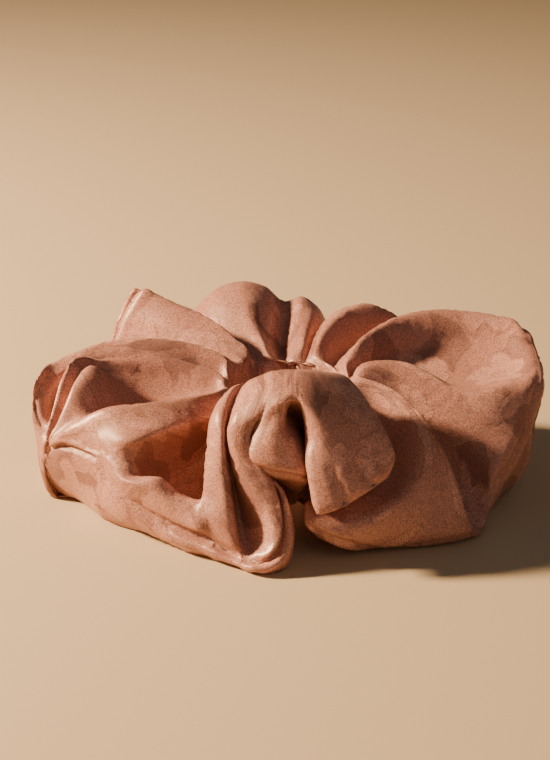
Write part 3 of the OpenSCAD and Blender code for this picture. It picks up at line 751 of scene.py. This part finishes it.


def satin():
    """Dusty rose satin with a woven pattern of flowers, a fine grain with painted sparkle in its colour, and
    a soft sheen.
    """
    n = Nodes("rose_satin")
    place = n.add("UVMap", uv_map="cloth").outputs[0]
    wobble = n.add("TexNoise", {"Vector": place, "Scale": 160.0, "Detail": 1.0}, noise_dimensions="2D")
    shift = n.add("VectorMath", {0: wobble.outputs["Color"], 1: (0.5, 0.5, 0.5)}, operation="SUBTRACT")
    shift = n.add("VectorMath", {0: shift.outputs[0], "Scale": 0.005}, operation="SCALE")
    bent = n.add("VectorMath", {0: place, 1: shift.outputs[0]}, operation="ADD").outputs[0]
    cell = n.add(
        "TexVoronoi", {"Vector": bent, "Scale": 1 / FLOWER, "Randomness": 0.75}, voronoi_dimensions="2D"
    )
    scaled = n.add("VectorMath", {0: bent, "Scale": 1 / FLOWER}, operation="SCALE").outputs[0]
    centre = n.add("VectorMath", {0: cell.outputs["Position"], "Scale": 1 / FLOWER}, operation="SCALE")
    local = n.add("VectorMath", {0: scaled, 1: centre.outputs[0]}, operation="SUBTRACT").outputs[0]
    split = n.add("SeparateXYZ", {0: local})
    angle = n.math("ARCTAN2", split.outputs[1], split.outputs[0])
    chance = n.add("SeparateColor", {0: cell.outputs["Color"]})
    turned = n.math("ADD", angle, n.math("MULTIPLY", chance.outputs[0], 6.28))
    petal = n.math("ABSOLUTE", n.math("COSINE", n.math("MULTIPLY", turned, PETALS / 2)))
    size = n.ramp(chance.outputs[1], 0, 1, 0.30, 0.46)
    edge = n.math("MULTIPLY", size, n.ramp(n.math("POWER", petal, 0.6), 0, 1, 0.5, 1.0))
    inside = n.math("SUBTRACT", edge, cell.outputs["Distance"])
    flower = n.ramp(inside, -0.012, 0.012)
    outline = n.ramp(n.math("ABSOLUTE", inside), 0.014, 0.034, 1, 0)
    heart = n.ramp(cell.outputs["Distance"], 0.06, 0.08, 1, 0)
    leaf_cell = n.add(
        "TexVoronoi", {"Vector": bent, "Scale": 1 / LEAF}, voronoi_dimensions="2D", distance="MANHATTAN"
    )
    leaf_chance = n.add("SeparateColor", {0: leaf_cell.outputs["Color"]}).outputs[2]
    leaf = n.ramp(leaf_cell.outputs["Distance"], 0.40, 0.42, 1, 0)
    leaf = n.math("MULTIPLY", leaf, n.ramp(leaf_chance, 0.50, 0.52))
    leaf = n.math("MULTIPLY", leaf, n.math("SUBTRACT", 1.0, flower))

    here = n.add("TexCoord").outputs["Object"]
    grain = n.add("TexNoise", {"Vector": here, "Scale": 1 / GRAIN, "Detail": 2.0, "Roughness": 0.7})
    cloud = n.add("TexNoise", {"Vector": place, "Scale": 35.0, "Detail": 3.0}, noise_dimensions="2D")
    twill = n.add(
        "TexWave", {"Vector": place, "Scale": 2100.0, "Distortion": 1.0, "Detail": 1.0},
        wave_type="BANDS", bands_direction="DIAGONAL",
    )

    base = n.mix(n.ramp(cloud.outputs[0], 0.3, 0.7), (0.38, 0.170, 0.125, 1), (0.44, 0.203, 0.152, 1))
    base = n.mix(n.math("MULTIPLY", flower, 0.6), base, (0.55, 0.268, 0.205, 1))
    base = n.mix(n.math("MULTIPLY", leaf, 0.8), base, (0.24, 0.105, 0.080, 1))
    base = n.mix(n.math("MULTIPLY", outline, 0.6), base, (0.31, 0.14, 0.105, 1))
    base = n.mix(n.math("MULTIPLY", heart, 0.4), base, (0.33, 0.155, 0.115, 1))
    # specks of the fine grain, lighter and darker, multiplied into the colour: partly the satin's own grainy
    # tone, partly painted sparkle, glints painted in as lighter specks
    grain_tone_and_sparkle = n.ramp(grain.outputs[0], 0.38, 0.62, 0.66, 1.30)
    grain_tone_and_sparkle_colour = n.add("CombineColor", {0: grain_tone_and_sparkle, 1: grain_tone_and_sparkle, 2: grain_tone_and_sparkle}).outputs[0]
    base = n.mix(1.0, base, grain_tone_and_sparkle_colour, "MULTIPLY")
    n.link(base, "Base Color")

    rough = n.ramp(grain.outputs[0], 0.38, 0.62, 0.32, 0.45)
    rough = n.math("SUBTRACT", rough, n.math("MULTIPLY", flower, 0.08))
    rough = n.math("ADD", rough, n.math("MULTIPLY", leaf, 0.10))
    n.link(rough, "Roughness")
    height = n.math("MULTIPLY", grain.outputs[0], 0.6)
    height = n.math("ADD", height, n.math("MULTIPLY", twill.outputs["Fac"], 0.08))
    height = n.math("ADD", height, n.math("MULTIPLY", flower, 0.25))
    bump = n.add("Bump", {"Height": height, "Strength": 0.45, "Distance": 0.00015})
    n.link(bump.outputs[0], "Normal")
    n.set(Sheen_Weight=0.08, Sheen_Roughness=0.35, Sheen_Tint=(1.0, 0.70, 0.55, 1), Anisotropic=0.35)
    n.set(Specular_IOR_Level=0.56, Specular_Tint=(1.0, 0.78, 0.66, 1))
    return n.material


def thread(name, colour, twist):
    """Twisted thread: fine slanting ply marks and a slight fuzz."""
    n = Nodes(name)
    place = n.add("TexCoord").outputs["Object"]
    ply = n.add("TexWave", {"Vector": place, "Scale": twist, "Distortion": 2.0}, bands_direction="DIAGONAL")
    dark = tuple(0.62 * c for c in colour) + (1,)
    n.link(n.mix(ply.outputs["Fac"], dark, colour + (1,)), "Base Color")
    bump = n.add("Bump", {"Height": ply.outputs["Fac"], "Strength": 0.6, "Distance": 0.00006})
    n.link(bump.outputs[0], "Normal")
    n.set(Roughness=0.55, Sheen_Weight=0.4)
    return n.material


def braid():
    """Cream braided elastic: rubber-cored cords covered with soft yarn."""
    n = Nodes("braided_elastic")
    place = n.add("TexCoord").outputs["Object"]
    yarn = n.add("TexNoise", {"Vector": place, "Scale": 2600.0, "Detail": 3.0})
    soil = n.add("TexNoise", {"Vector": place, "Scale": 120.0, "Detail": 2.0})
    base = n.mix(n.ramp(yarn.outputs[0], 0.35, 0.65), (0.60, 0.55, 0.47, 1), (0.86, 0.82, 0.74, 1))
    base = n.mix(n.ramp(soil.outputs[0], 0.4, 0.7, 0, 0.25), base, (0.66, 0.50, 0.42, 1))
    n.link(base, "Base Color")
    bump = n.add("Bump", {"Height": yarn.outputs[0], "Strength": 0.5, "Distance": 0.00012})
    n.link(bump.outputs[0], "Normal")
    n.set(Roughness=0.75, Sheen_Weight=0.3)
    return n.material


cover.data.materials.append(satin())
seam_stitches.data.materials.append(thread("rose_thread", (0.36, 0.17, 0.13), 1500))
closing_stitches.data.materials.append(seam_stitches.data.materials[0])
elastic.data.materials.append(braid())
join_stitches.data.materials.append(thread("cream_thread", (0.72, 0.66, 0.58), 1500))

# ---------------------------------------------------------------- stage, light, camera

floor_mesh = bpy.data.meshes.new("floor")
floor_mesh.from_pydata([(-2, -1.5, 0), (2, -1.5, 0), (2, 3, 0), (-2, 3, 0)], [], [(0, 1, 2, 3)])
floor = bpy.data.objects.new("floor", floor_mesh)
bpy.context.scene.collection.objects.link(floor)
floor_material = bpy.data.materials.new("floor")
floor_material.use_nodes = True
floor_shader = floor_material.node_tree.nodes["Principled BSDF"]
floor_shader.inputs["Base Color"].default_value = (0.58, 0.43, 0.27, 1)
floor_shader.inputs["Roughness"].default_value = 0.9
floor_mesh.materials.append(floor_material)


def area_light(name, place, target, size, power, colour):
    """A square lamp at that place, turned to the target. Lengths in metres, power in watts."""
    data = bpy.data.lights.new(name, "AREA")
    data.shape = "SQUARE"
    data.size = size
    data.energy = power
    data.color = colour
    lamp = bpy.data.objects.new(name, data)
    lamp.location = place
    lamp.rotation_euler = (Vector(target) - Vector(place)).to_track_quat("-Z", "Y").to_euler()
    bpy.context.scene.collection.objects.link(lamp)


middle = (0, 0, 0.02)
area_light("key", (-0.72, 0.07, 0.43), middle, 0.10, 30, (1, 0.74, 0.46))
area_light("fill", (0.30, -0.7, 0.5), middle, 0.7, 0.8, (1, 0.88, 0.80))
world = bpy.data.worlds.new("world")
world.use_nodes = True
world.node_tree.nodes["Background"].inputs["Color"].default_value = (0.88, 0.82, 0.80, 1)
world.node_tree.nodes["Background"].inputs["Strength"].default_value = 0.09
bpy.context.scene.world = world

ELEVATION = math.radians(20)
DISTANCE = 0.410
target = Vector((-0.0027, 0, 0.028))
camera_data = bpy.data.cameras.new("camera")
camera_data.lens = 85
camera = bpy.data.objects.new("camera", camera_data)
camera.location = target + DISTANCE * Vector((0, -math.cos(ELEVATION), math.sin(ELEVATION)))
camera.rotation_euler = (target - camera.location).to_track_quat("-Z", "Y").to_euler()
camera_data.clip_start = 0.01
bpy.context.scene.collection.objects.link(camera)
bpy.context.scene.camera = camera

# ---------------------------------------------------------------- the frame

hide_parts("cover_left", "cover_right")
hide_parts("long_seam_stitches_left", "long_seam_stitches_right")
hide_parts("closing_seam_stitches")
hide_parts("elastic_left", "elastic_right")
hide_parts("elastic_join_stitches")
for piece in (cover, seam_stitches, closing_stitches, elastic, join_stitches):
    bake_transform(piece)
